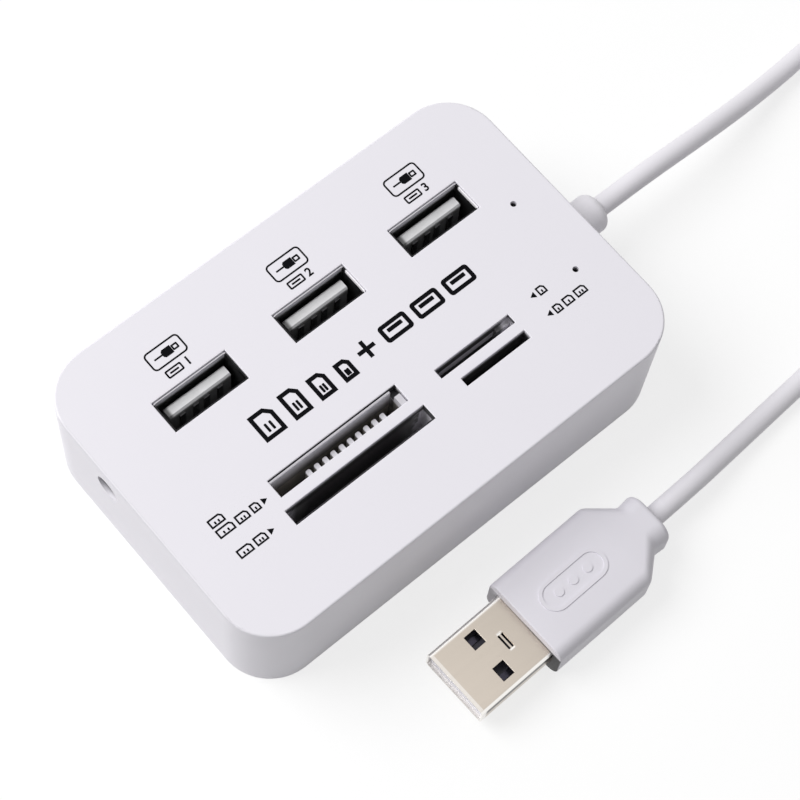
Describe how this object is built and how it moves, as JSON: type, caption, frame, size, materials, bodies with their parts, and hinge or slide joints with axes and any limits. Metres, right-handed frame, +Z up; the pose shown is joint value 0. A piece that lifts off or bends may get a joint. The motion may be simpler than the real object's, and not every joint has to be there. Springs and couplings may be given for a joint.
{
  "type": "usb hub card reader",
  "caption": "Flat white desk hub with upright ports and card slots in its top face, a barrel jack in one end, and a short coiled cable with a flat plug.",
  "frame": {"origin": "middle of the case's underside, on the surface it stands on", "axes": "+X along the case towards its cable, +Y towards the row of ports, +Z up"},
  "size_m": [0.1852, 0.0781, 0.021],
  "materials": {
    "case_white": "satin",
    "base_white": "fine texture",
    "screw_steel": "plated",
    "board_green": "solder mask",
    "port_metal": "bright rolled",
    "tongue_grey": "moulded",
    "contact_gold": "gold flashed",
    "socket_white": "moulded",
    "socket_black": "moulded",
    "lamp_clear": "clear",
    "pin_metal": "plated",
    "chip_black": "moulded",
    "cable_white": "satin",
    "core_white": "extruded",
    "tie_white": "satin",
    "plug_metal": "plated"
  },
  "bodies": {
    "root": {"top_shell": "case_white", "base_plate": "base_white", "base_screws": "screw_steel", "main_board": "board_green", "port_shell_1": "port_metal", "port_shell_2": "port_metal", "port_shell_3": "port_metal", "port_tongue_1": "tongue_grey", "port_tongue_2": "tongue_grey", "port_tongue_3": "tongue_grey", "port_contacts_1": "contact_gold", "port_contacts_2": "contact_gold", "port_contacts_3": "contact_gold", "stick_liner": "socket_white", "stick_socket": "socket_black", "stick_pins": "contact_gold", "large_socket": "socket_black", "large_pins": "contact_gold", "flat_socket": "socket_black", "flat_pins": "contact_gold", "flat_switch": "tongue_grey", "tiny_socket": "socket_black", "tiny_pins": "contact_gold", "link_lamp": "lamp_clear", "card_lamp": "lamp_clear", "jack_body": "socket_black", "jack_pin": "pin_metal", "hub_chip": "chip_black", "reader_chip": "chip_black", "crystal": "pin_metal", "capacitors": "chip_black", "cable_grommet": "cable_white", "cable_cores": "core_white", "cable_lead": "cable_white", "cable_coil": "cable_white", "coil_tie": "tie_white", "cable_tail": "cable_white", "plug_grip": "cable_white", "plug_shell": "plug_metal", "plug_insulator": "socket_white", "plug_contacts": "contact_gold"}
  },
  "joints": []
}
